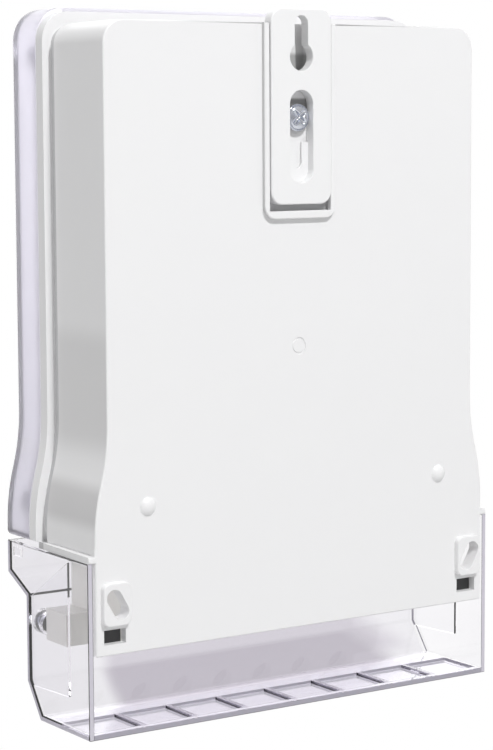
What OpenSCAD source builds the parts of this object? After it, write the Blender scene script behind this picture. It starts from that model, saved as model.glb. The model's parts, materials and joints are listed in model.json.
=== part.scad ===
// Wall-mounted three-phase electricity meter: moulded base, clear covers, hanger and works.
// Row frame: X along the width, +Y towards the wall, +Z up. The origin lies on the wall plane,
// midway between the two lower fixing slots. Modules below are drawn in plate coordinates:
// Y = 0 on the rear face of the back plate and Z = 0 on its lower edge.

/* [Back plate] */
// Width of the upper part of the back plate
plate_w = 153.8; // [140:0.1:200]
// Height of the back plate
plate_h = 209.5; // [190:0.5:260]
// Thickness of the back plate
plate_t = 3; // [2.4:0.1:4]
// How far the lower part widens on each side
shoulder_out = 5.2; // [2:0.1:8]
// Height of the shoulder's start above the ledge
shoulder_rise = 4.2; // [4.2:0.1:10]
// Length of the shoulder curve
shoulder_len = 39; // [30:1:50]
// Corner radius of the back plate
plate_r = 7.5; // [5:0.5:9]

/* [Base shell] */
// Height of the lower edge of the meter chamber
ledge_z = 33.8; // [32:0.2:36]
// Thickness of the side walls and of the ledge
wall_t = 2.2; // [1.6:0.1:2.6]
// Depth of the side walls
side_depth = 36.3; // [32:0.1:50]
// Thickness of the rim flange
flange_t = 4.5; // [3:0.1:6]
// How far the rim flange stands out
flange_out = 2.4; // [1.6:0.1:4]
// How far the rim flange stands above the back plate
flange_up = 4; // [3:0.1:6]

/* [Main cover] */
// Depth of the main cover in front of the rim
cover_depth = 16.2; // [14:0.1:24]
// Wall of the main cover
cover_t = 2; // [1.6:0.1:3]
// Corner radius of the main cover
cover_r = 11; // [8:0.5:14]
// How far the main cover stands above the rim flange
cover_up = 1.5; // [0.5:0.1:3]
// Gap between the rim flange and the main cover
cover_gap = 0.2; // [0.1:0.05:0.5]
// Play between the main cover's screw bosses and the side walls
boss_play = 1.7; // [0.5:0.1:3]

/* [Terminal cover] */
// Clearance between the back plate's edge and the terminal cover
tcover_gap = 1; // [0.6:0.1:2]
// Wall of the terminal cover
tcover_t = 1.8; // [1.4:0.1:2.6]
// How far the terminal cover hangs below the back plate
tcover_drop = 28; // [24:0.5:60]
// Depth of the terminal cover's bottom
tcover_bottom_depth = 34.2; // [32:0.1:38]
// Depth of the terminal cover's front
tcover_front_depth = 43.1; // [42:0.1:50]
// Number of knock-out windows in the bottom
window_n = 8; // [2:1:10]
// Thickness left in the knock-out windows
window_t = 0.8; // [0.5:0.1:1.2]
// Width of the ribs between the windows
rib_w = 2; // [1.4:0.1:3]

/* [Fixings] */
// Distance between the two lower fixings
fixing_pitch = 150; // [138:0.5:152]
// Height of the lower fixings above the plate's lower edge
fixing_z = 17.5; // [16:0.1:19]
// Width of the slanted fixing slots
fixing_slot_w = 5.8; // [5:0.1:6.2]
// Length of the slanted fixing slots
fixing_slot_len = 11; // [9:0.1:11.6]
// Lean of the fixing slots from upright
fixing_lean = 30; // [20:1:35]
// How far the lugs and the hanger stand off the back plate
standoff = 2.3; // [1.8:0.1:3]

/* [Hanger] */
// Width of the hanger slider
hanger_w = 25; // [22:0.5:30]
// Height of the hanger slider
hanger_h = 66.4; // [60:0.1:70]
// Thickness of the hanger slider
hanger_t = 4; // [3.4:0.1:4.4]
// Height of the hanger's lower end
hanger_z = 148; // [147.5:0.1:149]
// Width of the guide's rim
guide_rim = 2.1; // [1.6:0.1:3]
// Running clearance of the hanger in its guide
guide_gap = 0.3; // [0.2:0.05:0.5]
// Diameter of the keyhole's round opening
keyhole_d = 9.6; // [9:0.1:10.4]
// Width of the keyhole's narrow part
keyhole_w = 5.5; // [5:0.1:6]
// Diameter of the hanger screw's head
hanger_head_d = 9; // [8:0.1:9.2]
// Diameter of the hanger screw's shank
hanger_shank_d = 4; // [3.5:0.1:4.2]

/* [Terminals] */
// Number of main terminals
terminal_n = 8; // [4:2:8]
// Distance between main terminals
terminal_pitch = 18; // [16:0.1:18]
// Diameter of the cable bores
cable_d = 8.5; // [6:0.1:9.5]
// Width and depth of a terminal's brass clamp
clamp_w = 12; // [11.6:0.1:13]
// Length of a terminal's brass clamp
clamp_len = 24; // [22:0.5:25]
// Diameter of the terminal screws
terminal_screw_d = 5; // [4:0.1:5.4]

/* [Front] */
// Diameter of the push buttons
button_d = 9; // [8:0.1:12]
// Travel of the push buttons
button_travel = 1.5; // [1:0.1:2]
// Distance between the two push buttons
button_pitch = 44; // [40:1:60]
// Outer diameter of the optical port's ring
port_ring_d = 30; // [26:0.5:32]
// Width of the display glass
glass_w = 84; // [70:1:90]
// Height of the display glass
glass_h = 34; // [28:1:36]

/* [Hidden] */
$fn = 48;
eps = 0.05;
fit = 0.3;                                   // clearance between pieces of different bodies

// Back plate and base shell
half_top = plate_w / 2;
half_low = half_top + shoulder_out;
y_rim = -side_depth - flange_t;              // front face of the rim flange
rim_top = plate_h + flange_up;
inner_top = half_top - wall_t;
inner_low = half_low - wall_t;
chamber_z = ledge_z + wall_t;                // floor of the meter chamber
chamber_top = plate_h - wall_t;
groove_w = 3.6;                              // shallow groove in the side walls beside the flange
groove_depth = 0.8;
lip_h = 2.2;                                 // lip over the terminal cover's side walls
lip_rear = 2.6;
lip_front = 1.3;
gasket_w = 1.4;
gasket_depth = 1.2;

// Main cover
y_front = y_rim - cover_depth;               // front face of the main cover
y_pane = y_front + cover_t;                  // inner face of the front pane
cover_z = ledge_z - 0.4;
cover_top = rim_top + cover_up;
cover_half_top = half_top + flange_out;
screw_low_z = chamber_z + 9;
screw_high_z = chamber_top - 8.2;
boss_r = 4.4;
screw_low_x = inner_low - boss_r - boss_play;
screw_high_x = inner_top - boss_r - boss_play;
pilot_r = 1.9;
seal_shank_r = 1.6;
seal_head_r = 3.2;
seal_head_h = 2.5;
seal_recess = 0.6;                           // how deep a sealing screw's head lies

// Terminal cover
tcover_half = half_low + tcover_gap + tcover_t;
tcover_back = 0.5;                           // gap between its rear edge and the plate's rear face
tcover_top_rear = ledge_z - lip_h - 0.3;
tcover_top_front = ledge_z - 2;
y_tfront_top = y_front + 0.8;
tstep_z = 20.5;                              // foot of the upright top front
tstep_low_z = 14;                            // foot of the slanted step
chamfer_z = 12.2;                            // height of the lower chamfer
tscrew_x = half_low - 4.6;
tscrew_z = 5;
foot_front = 34;                             // depth of the terminal block's feet
foot_rear = 20;
foot_h = 11;

gate_z = plate_h * 0.473;                    // height of the moulding gate's mark

// Hanger and its guide
guide_half = hanger_w / 2 + guide_gap + guide_rim;
guide_t = 1.8;                               // how far the guide's rim stands out
guide_floor = hanger_t - standoff + guide_gap;
channel_half = hanger_w / 2 + guide_gap;
channel_z = hanger_z - 2.2;                  // the slider's lower stop
tongue = 1;                                  // how far the slider's tongues reach under the rim
tongue_t = 0.9;
hanger_screw_z = hanger_z + 29.6;
slot_z = hanger_z + 7.3;                     // lower end of the slider's recess
slot_top = hanger_z + 38.9;
ledge_top = hanger_z + 21.3;                 // upper end of the slot's ledges
slot_w = hanger_head_d + 0.6;
narrow_w = hanger_shank_d + 0.4;
ledge_floor = 0.8;                           // thickness of the slot's ledges
keyhole_z = hanger_z + 50.2;
keyhole_top = hanger_z + 62.7;
insert_r = 3.6;
pocket_half = 6;                             // pocket for the wall screw's head, behind the keyhole
pocket_depth = 3.8;
pocket_wall = 1.4;
pocket_z = keyhole_z - keyhole_d / 2 - 2.9;

// Terminal block
block_half = terminal_pitch * (terminal_n / 2 - 0.5) + clamp_w / 2 + 2;
block_front = 34;
block_y = -plate_t;
clamp_y = -18;                               // axis of the cable bores
clamp_z = 4;                                 // lower end of the clamps
clamp_fit = 0.1;
bar_w = 6;
bar_t = 2;
bar_top = 70;
block_top = clamp_z + clamp_len + 2;

// Board and works
board_y = -24;                               // rear face of the circuit board
board_t = 1.6;
board_half = half_top - 15;
board_z = 76;
board_top = plate_h - 14;
post_r = 4;
board_screw_x = board_half - 6;
board_screw_zs = [board_z + 6, board_top - 6];
fascia_y = y_pane + 5;                       // front face of the fascia
fascia_t = 1.6;
fascia_play = 2;                             // gap round the fascia's edge
glass_z = (board_z + board_top) / 2 + 22;    // middle of the display
button_z = board_z + 38;
port_z = board_z + 10;
port_lens_pitch = 6.5;
lamp_x = 44;
spring_wire = 0.5;
spring_turns = 5;
retainer_t = 1.2;                            // floor of the button wells
flange_h = 1.2;                              // flange of a button cap
button_room = 5.6;                           // spring length at rest
y_well = y_pane + flange_h + button_room + retainer_t + fit;
stem_r = button_d / 2 - 1.5;
switch_h = 4.3;
y_stem = board_y - board_t - switch_h - button_travel - fit;

function terminal_x(i) = terminal_pitch * (i - (terminal_n - 1) / 2);

// Corner arc points, from angle a to b about centre c
function arc(c, r, a, b, n = 8) =
    [for (i = [0:n]) c + r * [cos(a + (b - a) * i / n), sin(a + (b - a) * i / n)]];

// Right-hand shoulder: two equal tangent arcs from half width `low` at z0 to `top` at z0 + len
function shoulder(low, top, z0, len, n = 7) =
    let (turn = 2 * atan2(low - top, len), r = len / (2 * sin(turn)))
    concat(arc([low - r, z0], r, 0, turn, n),
           arc([top + r, z0 + len], r, 180 + turn, 180, n));

// Outline in X and Z with shoulders, radius r at the top and r_low at the bottom
function outline(top, low, z0, z1, r, r_low = 0.6) =
    let (half = concat(arc([low - r_low, z0 + r_low], r_low, -90, 0, 4),
                       shoulder(low, top, ledge_z + shoulder_rise, shoulder_len),
                       arc([top - r, z1 - r], r, 0, 90)))
    concat(half, [for (i = [len(half) - 1:-1:0]) [-half[i][0], half[i][1]]]);

// Places plate coordinates in the row frame
module placed() {
    translate([0, -standoff, -fixing_z])
        children();
}

// Extrudes an outline in X and Z from y towards the front
module slab(y, depth) {
    translate([0, y, 0])
        rotate([90, 0, 0])
            linear_extrude(depth)
                children();
}

// Cylinder along Y from y towards the front
module rod(x, z, y, depth, r) {
    slab(y, depth)
        translate([x, z])
            circle(r);
}

// Box from one corner to the other
module block(low, high) {
    translate(low)
        cube(high - low);
}

module both_sides() {
    children();
    mirror([1, 0, 0])
        children();
}

module rounded_rect(w, h, r) {
    hull_x = w / 2 - r;
    hull_z = h / 2 - r;
    square([w, 2 * hull_z], center = true);
    square([2 * hull_x, h], center = true);
    for (x = [-hull_x, hull_x], z = [-hull_z, hull_z])
        translate([x, z])
            circle(r);
}

module obround(w, len) {
    straight = len - w;
    square([w, straight], center = true);
    for (z = [-straight / 2, straight / 2])
        translate([0, z])
            circle(w / 2);
}

// Pan head with a cross recess, its underside at y facing the wall side
module cross_head(y, r, h, toward) {
    recess = h * 0.55;
    difference() {
        rotate([toward * 90, 0, 0])
            translate([0, 0, toward > 0 ? -y : y])
                rotate_extrude()
                    intersection() {
                        union() {
                            square([r * 0.62, h]);
                            square([r, h * 0.55]);
                            translate([r - h * 0.95, h * 0.05])
                                circle(h * 0.95);
                        }
                        square([r, h]);
                    }
        for (turn = [0, 90])
            translate([0, y - toward * (h - recess / 2 + eps / 2), 0])
                rotate([0, 45 + turn, 0])
                    cube([r * 1.2, recess + eps, r * 0.24], center = true);
    }
}

module lug_outline() {
    rounded_rect(10.6, 14.6, 2.5);
}

module fixing_slot() {
    rotate(-fixing_lean)
        obround(fixing_slot_w, fixing_slot_len);
}

module cover_screw_spots() {
    for (side = [-1, 1], at = [[screw_low_x, screw_low_z], [screw_high_x, screw_high_z]])
        translate([side * at[0], 0, at[1]])
            children();
}

module board_screw_spots() {
    for (x = [-board_screw_x, board_screw_x], z = board_screw_zs)
        translate([x, 0, z])
            children();
}

module base_solid() {
    slab(0, plate_t)
        polygon(outline(half_top, half_low, 0, plate_h, plate_r));
    difference() {
        slab(0, side_depth + eps)
            polygon(outline(half_top, half_low, ledge_z, plate_h, plate_r));
        slab(-plate_t, side_depth)
            polygon(outline(inner_top, inner_low, chamber_z, chamber_top, plate_r - wall_t));
    }
    difference() {
        slab(-side_depth, flange_t)
            polygon(outline(cover_half_top, half_low + flange_out, ledge_z, rim_top,
                            plate_r + flange_out));
        slab(eps - side_depth, flange_t + 1)
            polygon(outline(inner_top, inner_low, chamber_z, chamber_top, plate_r - wall_t));
    }
    cover_screw_spots()
        rod(0, 0, -plate_t + eps, -plate_t - y_rim + eps, boss_r);
    board_screw_spots()
        rod(0, 0, -plate_t + eps, -plate_t - board_y + eps, post_r);
    // hanger guide and the boss behind its screw
    slab(guide_t, guide_t + eps)
        guide_outline();
    rod(0, hanger_screw_z, -plate_t + eps, 8, insert_r + 2.4);
    // back of the guide channel
    block([-channel_half - 2, -guide_floor - 1.6, channel_z - 2],
          [channel_half + 2, -plate_t + eps, plate_h - wall_t]);
    // walls of the pocket behind the keyhole
    block([-pocket_half - pocket_wall, -guide_floor - pocket_depth - pocket_wall,
           pocket_z - pocket_wall],
          [pocket_half + pocket_wall, -plate_t + eps, plate_h]);
    both_sides() {
        // lip over the terminal cover
        translate([0, 0, ledge_z - lip_h])
            linear_extrude(lip_h + eps)
                polygon([[half_low - wall_t, 0], [half_low + lip_rear, 0],
                         [half_low + lip_front, -side_depth - eps],
                         [half_low - wall_t, -side_depth - eps]]);
        slab(standoff, standoff + eps)
            translate([fixing_pitch / 2, fixing_z])
                lug_outline();
        bump(61.8, 48.9, 3.3, 1.7);
    }
}

// Low domed bump on the back plate
module bump(x, z, r, h) {
    sphere_r = (r * r + h * h) / (2 * h);
    intersection() {
        translate([x, h - sphere_r, z])
            sphere(sphere_r);
        rod(x, z, h + 1, h + 1 + eps, r + 1);
    }
}

// U-shaped guide with rounded lower corners, open at the top
module guide_outline() {
    r = 4.5;
    low = channel_z - 2.7;
    translate([-guide_half, low + r])
        square([2 * guide_half, plate_h - low - r]);
    translate([-guide_half + r, low])
        square([2 * (guide_half - r), r + 1]);
    for (x = [-guide_half + r, guide_half - r])
        translate([x, low + r])
            circle(r);
}

module base_housing() {
    color("white")
        placed()
            difference() {
                base_solid();
                // hanger channel and the undercuts for the slider's tongues
                slab(guide_t + 1, guide_t + 1 + guide_floor)
                    translate([-channel_half, channel_z])
                        square([2 * channel_half, plate_h]);
                block([-channel_half - tongue - guide_gap, -guide_floor, channel_z],
                      [channel_half + tongue + guide_gap, -guide_floor + tongue_t + 2 * guide_gap,
                       plate_h + 1]);
                rod(0, hanger_screw_z, 1, plate_t + 9, insert_r);
                block([-pocket_half, -guide_floor - pocket_depth, pocket_z],
                      [pocket_half, -guide_floor + eps, plate_h + 1]);
                // shallow groove beside the flange
                slab(groove_w - side_depth, groove_w)
                    difference() {
                        translate([-half_low - 10, ledge_z + eps])
                            square([2 * half_low + 20, plate_h]);
                        polygon(outline(half_top - groove_depth, half_low - groove_depth,
                                        ledge_z - 1, plate_h - groove_depth,
                                        plate_r - groove_depth));
                    }
                // slanted fixing slots and the square openings below them
                both_sides()
                    slab(standoff + 1, standoff + plate_t + 2)
                        translate([fixing_pitch / 2, fixing_z])
                            fixing_slot();
                both_sides()
                    block([fixing_pitch / 2 - 4.2, -plate_t - 1, 3.8],
                          [fixing_pitch / 2 + 4.2, 1, 8.8]);
                // gasket groove in the rim flange
                slab(y_rim + gasket_depth, gasket_depth + 1)
                    gasket_outline();
                // pilot holes for the cover, board and block screws
                cover_screw_spots()
                    rod(0, 0, y_rim + 16, 17, pilot_r);
                board_screw_spots()
                    rod(0, 0, board_y + 12, 13, 1.3);
                // passages for the busbars through the ledge
                for (i = [0:terminal_n - 1])
                    block([terminal_x(i) - bar_w / 2 - 0.5, clamp_y - bar_t / 2 - 0.5, ledge_z - 1],
                          [terminal_x(i) + bar_w / 2 + 0.5, clamp_y + bar_t / 2 + 0.5,
                           chamber_z + 1]);
                // blind holes for the terminal block's screws
                block_screw_spots()
                    rod(0, 0, -0.8, plate_t, 1.6);
                // shallow ring left by the moulding gate
                difference() {
                    rod(0, gate_z, 1, 1.3, 3);
                    rod(0, gate_z, 2, 3, 2.3);
                }
            }
}

module gasket_outline() {
    inset = 1.3;
    difference() {
        polygon(outline(cover_half_top - inset, half_low + flange_out - inset,
                        ledge_z + 0.4, rim_top - inset - 0.6, plate_r + flange_out - inset));
        polygon(outline(cover_half_top - inset - gasket_w, half_low + flange_out - inset - gasket_w,
                        ledge_z + 0.4 + gasket_w, rim_top - inset - 0.6 - gasket_w,
                        plate_r + flange_out - inset - gasket_w));
    }
}

module cover_gasket() {
    color("dimgray")
        placed()
            slab(y_rim + gasket_depth, gasket_depth + cover_gap / 2)
                gasket_outline();
}

module slot_outline() {
    translate([0, (slot_z + slot_top) / 2])
        obround(slot_w, slot_top - slot_z);
}

module hanger_slider() {
    rear = standoff;
    front = standoff - hanger_t;
    color("white")
        placed()
            difference() {
                union() {
                    slab(rear, hanger_t)
                        translate([0, hanger_z + hanger_h / 2])
                            rounded_rect(hanger_w, hanger_h, 4.5);
                    // tongues that run in the guide
                    block([-hanger_w / 2 - tongue, front, hanger_z + 5],
                          [hanger_w / 2 + tongue, front + tongue_t, hanger_z + 50]);
                }
                // open upper part of the slot
                slab(rear + 1, hanger_t + 2)
                    intersection() {
                        slot_outline();
                        translate([-slot_w, ledge_top])
                            square([2 * slot_w, slot_top]);
                    }
                // recess over the ledges
                slab(rear + 1, hanger_t + 1 - ledge_floor)
                    slot_outline();
                // narrow slot between the ledges
                slab(rear + 1, hanger_t + 2)
                    translate([0, (slot_z + 5 + slot_top) / 2])
                        obround(narrow_w, slot_top - slot_z - 5);
                // keyhole
                rod(0, keyhole_z, rear + 1, hanger_t + 2, keyhole_d / 2);
                slab(rear + 1, hanger_t + 2)
                    translate([0, (keyhole_z + keyhole_top) / 2])
                        obround(keyhole_w, keyhole_top - keyhole_z + keyhole_w / 2);
            }
}

module hanger_screw() {
    under = standoff - hanger_t + ledge_floor + guide_gap;
    color("silver")
        placed()
            translate([0, 0, hanger_screw_z]) {
                cross_head(under, hanger_head_d / 2, 2, -1);
                rod(0, 0, under + eps, under + 9, hanger_shank_d / 2);
            }
}

module hanger_nut() {
    color("goldenrod")
        placed()
            difference() {
                rod(0, hanger_screw_z, -guide_floor - 0.4, 6.8, insert_r - 0.05);
                rod(0, hanger_screw_z, 1, 12, hanger_shank_d / 2 + 0.05);
            }
}

// Side walls and pane of the main cover
module cover_shell() {
    low_half = cover_half_top + shoulder_out;
    difference() {
        slab(y_rim - cover_gap, cover_depth - cover_gap)
            polygon(outline(cover_half_top, low_half, cover_z, cover_top, cover_r, 2));
        slab(y_rim + 1, cover_depth + 1 - cover_t)
            polygon(outline(cover_half_top - cover_t, low_half - cover_t, cover_z + cover_t,
                            cover_top - cover_t, cover_r - cover_t, 1));
    }
    cover_screw_spots()
        rod(0, 0, y_rim - cover_gap, cover_depth - cover_gap - eps, boss_r);
    // pad behind the optical port ring and wells for the buttons
    rod(0, port_z, y_pane + 1.4, 1.4 + eps, port_ring_d / 2 + 1.5);
    for (x = [-button_pitch / 2, button_pitch / 2])
        rod(x, button_z, y_well, y_well - y_pane + eps, button_d / 2 + 3.6);
}

module main_cover() {
    color([0.93, 0.92, 0.97, 0.4])
        placed()
            difference() {
                cover_shell();
                cover_screw_spots() {
                    rod(0, 0, y_rim + 1, cover_depth + 2, pilot_r);
                    rod(0, 0, y_front + seal_head_h + seal_recess, 10, seal_head_r + fit);
                }
                // seat of the optical port ring
                difference() {
                    rod(0, port_z, y_front + 1.5, 3, port_ring_d / 2 + 0.1);
                    rod(0, port_z, y_front + 2, 4, port_ring_d / 2 - 5.1);
                }
                for (x = [-button_pitch / 2, button_pitch / 2]) {
                    rod(x, button_z, y_well - retainer_t, flange_h + button_room + fit,
                        button_d / 2 + 1.8);
                    rod(x, button_z, y_well + 1, retainer_t + 2, stem_r + fit);
                    rod(x, button_z, y_pane + eps, 6, button_d / 2 + fit);
                }
            }
}

module main_cover_screws() {
    color("silver")
        placed()
            cover_screw_spots() {
                cross_head(y_front + seal_recess + seal_head_h, seal_head_r, seal_head_h, 1);
                rod(0, 0, y_rim + 12, y_rim + 12 - y_front - seal_recess - seal_head_h + eps,
                    seal_shank_r);
            }
}

module button(side) {
    x = side * button_pitch / 2;
    color("gold")
        placed()
            difference() {
                union() {
                    rod(x, button_z, y_pane + fit + flange_h, y_pane + fit + flange_h - y_front + 1.8,
                        button_d / 2);
                    rod(x, button_z, y_pane + fit + flange_h, flange_h, button_d / 2 + 1.4);
                    rod(x, button_z, y_stem, y_stem - y_pane - flange_h, stem_r);
                }
                // shallow dish for the fingertip
                translate([x, y_front - 1.8 - 12 + 0.5, button_z])
                    sphere(12, $fn = 96);
            }
}

module button_left() {
    button(-1);
}

module button_right() {
    button(1);
}

// Return spring: a helix of round wire swept about the button's stem
module button_spring(side) {
    length = button_room - 0.1;
    coil_r = button_d / 2 - 0.1;
    steps = 16;
    sides = 8;
    rows = spring_turns * steps;
    travel = length - spring_wire;
    pts = [for (i = [0:rows], k = [0:sides - 1])
              let (turn = 360 * i / steps, around = 360 * k / sides,
                   r = coil_r + spring_wire / 2 * cos(around))
              [r * cos(turn), -travel * i / rows - spring_wire / 2 * (1 + sin(around)),
               r * sin(turn)]];
    sides_faces = [for (i = [0:rows - 1], k = [0:sides - 1])
                      [i * sides + k, i * sides + (k + 1) % sides,
                       (i + 1) * sides + (k + 1) % sides, (i + 1) * sides + k]];
    ends = [[for (k = [sides - 1:-1:0]) k], [for (k = [0:sides - 1]) rows * sides + k]];
    color("silver")
        placed()
            translate([side * button_pitch / 2, y_well - retainer_t, button_z])
                polyhedron(pts, concat(sides_faces, ends));
}

// Tactile switches on the board, one behind each button's stem
module key_switches() {
    front = board_y - board_t;
    color("dimgray")
        placed()
            for (x = [-button_pitch / 2, button_pitch / 2])
                translate([x, 0, button_z]) {
                    block([-3, front - switch_h + 1, -3], [3, front, 3]);
                    rod(0, 0, front - 1, switch_h - 1, 1.7);
                }
}

module button_spring_left() {
    button_spring(-1);
}

module button_spring_right() {
    button_spring(1);
}

module fascia_plate() {
    post_x = board_half - 16;
    color("whitesmoke")
        placed()
            difference() {
                union() {
                    slab(fascia_y + fascia_t, fascia_t)
                        polygon(outline(inner_top - fascia_play, inner_low - fascia_play,
                                        chamber_z + 1, chamber_top, plate_r));
                    for (x = [-post_x, post_x], z = board_screw_zs)
                        rod(x, z, board_y - board_t, board_y - board_t - fascia_y - 0.5, 3);
                }
                cover_screw_spots()
                    rod(0, 0, fascia_y + 4, 10, boss_r + 0.8);
                block([-glass_w / 2 + 2, fascia_y - 1, glass_z - glass_h / 2 + 2],
                      [glass_w / 2 - 2, fascia_y + 4, glass_z + glass_h / 2 - 2]);
                for (x = [-button_pitch / 2, button_pitch / 2])
                    rod(x, button_z, fascia_y + 4, 10, button_d / 2 + 4.2);
                rod(0, port_z, fascia_y + 4, 10, port_lens_pitch + 2.8);
                for (i = [-1:1])
                    rod(lamp_x + 8 * i, button_z, fascia_y + 4, 10, 2.5 + fit);
            }
}

module display_frame() {
    rear = board_y - board_t;
    front = fascia_y + fascia_t + 2.4;
    color("white")
        placed()
            difference() {
                block([-glass_w / 2 - 3, front, glass_z - glass_h / 2 - 3],
                      [glass_w / 2 + 3, rear, glass_z + glass_h / 2 + 3]);
                block([-glass_w / 2 + 3, front - 1, glass_z - glass_h / 2 + 3],
                      [glass_w / 2 - 3, rear - 2, glass_z + glass_h / 2 - 3]);
            }
}

module display_glass() {
    front = fascia_y + fascia_t + 2.4;
    color([0.5, 0.58, 0.45])
        placed()
            block([-glass_w / 2, front - 2.2, glass_z - glass_h / 2],
                  [glass_w / 2, front, glass_z + glass_h / 2]);
}

module pulse_lamps() {
    rear = board_y - board_t;
    color("red")
        placed()
            for (i = [-1:1])
                translate([lamp_x + 8 * i, 0, button_z]) {
                    rod(0, 0, rear, rear - fascia_y - 0.4, 2.5);
                    rod(0, 0, rear, 1.5, 3.2);
                    translate([0, fascia_y + 0.4, 0])
                        intersection() {
                            sphere(2.5);
                            block([-3, -3, -3], [3, 0.1, 3]);
                        }
                }
}

module optical_port_ring() {
    color("silver")
        placed()
            difference() {
                rod(0, port_z, y_front + 1.5, 1.5, port_ring_d / 2);
                rod(0, port_z, y_front + 3, 6, port_ring_d / 2 - 5);
            }
}

module optical_lenses() {
    rear = board_y - board_t;
    color("darkred")
        placed()
            for (x = [-port_lens_pitch / 2, port_lens_pitch / 2])
                translate([x, 0, port_z]) {
                    rod(0, 0, rear, rear - y_pane - 2.5, 2.2);
                    rod(0, 0, rear, 2, 2.9);
                }
}

module circuit_board() {
    color("darkgreen")
        placed()
            difference() {
                block([-board_half, board_y - board_t, board_z], [board_half, board_y, board_top]);
                board_screw_spots()
                    rod(0, 0, board_y + 1, board_t + 2, 1.7);
            }
}

module board_screws() {
    color("silver")
        placed()
            board_screw_spots() {
                cross_head(board_y - board_t, 2.8, 1.8, 1);
                rod(0, 0, board_y + 10, board_t + 10 + eps, 1.25);
            }
}

// One toroid round each phase's incoming bar
module current_transformers() {
    color("navy")
        placed()
            for (i = [0:2:terminal_n - 3])
                translate([terminal_x(i), clamp_y, bar_top - bar_w - 12.5])
                    rotate_extrude()
                        translate([3.4, 0])
                            square([4.6, 10]);
}

// Paired bars: in from one terminal, across, and out to the next
module busbars() {
    color("chocolate")
        placed()
            for (i = [0:2:terminal_n - 1]) {
                block([terminal_x(i) - bar_w / 2, clamp_y - bar_t / 2, bar_top - bar_w],
                      [terminal_x(i + 1) + bar_w / 2, clamp_y + bar_t / 2, bar_top]);
                for (k = [i, i + 1])
                    block([terminal_x(k) - bar_w / 2, clamp_y - bar_t / 2, clamp_z + clamp_len],
                          [terminal_x(k) + bar_w / 2, clamp_y + bar_t / 2, bar_top]);
            }
}

module supply_transformer() {
    core = [24, 15, 20];
    at = [-36, board_y, board_z + 26];
    color("gray")
        placed()
            translate(at) {
                difference() {
                    block([0, 0, 0], core);
                    for (z = [3.5, core[2] - 8.5])
                        block([4, -1, z], [core[0] - 4, core[1] + 1, z + 5]);
                }
                block([2, 2, 9], [core[0] - 2, core[1] + 1.5, 11]);
            }
}

module capacitors() {
    color("black")
        placed()
            for (i = [0:2])
                translate([-2 + 14 * i, board_y, board_z + 36])
                    rod(0, 0, 15, 15, 5);
}

module surge_varistors() {
    color("royalblue")
        placed()
            for (i = [0:2])
                translate([-42 + 16 * i, board_y + 6, board_z + 12])
                    rotate([0, 0, 90]) {
                        rod(0, 0, 2, 4, 6);
                        block([-2, -6, -1], [2, 6, 1]);
                    }
}

module processor_chips() {
    color("dimgray")
        placed() {
            block([20, board_y, board_z + 74], [34, board_y + 1.8, board_z + 88]);
            block([-4, board_y, board_z + 76], [6, board_y + 1.6, board_z + 84]);
            block([-34, board_y, board_z + 70], [-24, board_y + 2.2, board_z + 86]);
        }
}

module battery_holder() {
    x0 = 16;
    z0 = board_z + 10;
    color("black")
        placed()
            difference() {
                block([x0, board_y, z0], [x0 + 34, board_y + 10, z0 + 17]);
                block([x0 + 2, board_y + 2, z0 + 1], [x0 + 32, board_y + 11, z0 + 16]);
            }
}

module backup_battery() {
    x0 = 16;
    z0 = board_z + 10;
    color("seagreen")
        placed()
            translate([x0 + 2.2, board_y + 9.4, z0 + 8.5])
                rotate([0, 90, 0]) {
                    cylinder(r = 7.3, h = 27.4);
                    cylinder(r = 2.5, h = 29.4);
                }
}

module tamper_switch() {
    color("black")
        placed()
            translate([board_half - 8, board_y - board_t, board_z + 62]) {
                block([-6, -7, -3.5], [6, 0, 3.5]);
                rod(0, 0, -6.9, 2.6, 1.8);
            }
}

module block_screw_spots() {
    both_sides()
        translate([terminal_x(terminal_n - 1) - terminal_pitch / 2, 0, clamp_z + 6])
            children();
}

module terminal_block() {
    color("gainsboro")
        placed()
            difference() {
                union() {
                    block([-block_half, -block_front, 0], [block_half, block_y, block_top]);
                    both_sides()
                        block([block_half - eps, -foot_front, 0],
                              [half_low - 1.5, -foot_rear, foot_h]);
                }
                for (i = [0:terminal_n - 1])
                    translate([terminal_x(i), 0, 0]) {
                        block([-clamp_w / 2 - clamp_fit, clamp_y - clamp_w / 2 - clamp_fit, clamp_z],
                              [clamp_w / 2 + clamp_fit, clamp_y + clamp_w / 2 + clamp_fit,
                               block_top + 1]);
                        translate([0, clamp_y, -1])
                            cylinder(r = cable_d / 2, h = clamp_z + 2);
                        for (z = terminal_screw_zs)
                            rod(0, z, clamp_y, block_front, terminal_screw_d / 2 + 0.9);
                    }
                for (i = [0:terminal_n - 2])
                    translate([terminal_x(i) + terminal_pitch / 2, 0, 0]) {
                        block([-1.2, -block_front - 1, -1], [1.2, -block_front + 3, block_top - 8]);
                        rod(0, block_top - 4, -block_front + 10, 11, 2.2);
                    }
                both_sides()
                    rod(tscrew_x, tscrew_z, -foot_rear - 1, 20, pilot_r);
                block_screw_spots()
                    rod(0, 0, 1, block_front + 2, 1.7);
            }
}

terminal_screw_zs = [clamp_z + 7, clamp_z + 17];

module terminal_clamps() {
    color("goldenrod")
        placed()
            for (i = [0:terminal_n - 1])
                translate([terminal_x(i), clamp_y, clamp_z])
                    difference() {
                        block([-clamp_w / 2, -clamp_w / 2, 0], [clamp_w / 2, clamp_w / 2, clamp_len]);
                        translate([0, 0, -1])
                            cylinder(r = cable_d / 2, h = clamp_len - 1);
                        for (z = terminal_screw_zs)
                            rod(0, z - clamp_z, -cable_d / 2 + 1, clamp_w,
                                terminal_screw_d / 2 + 0.05);
                    }
}

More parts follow.
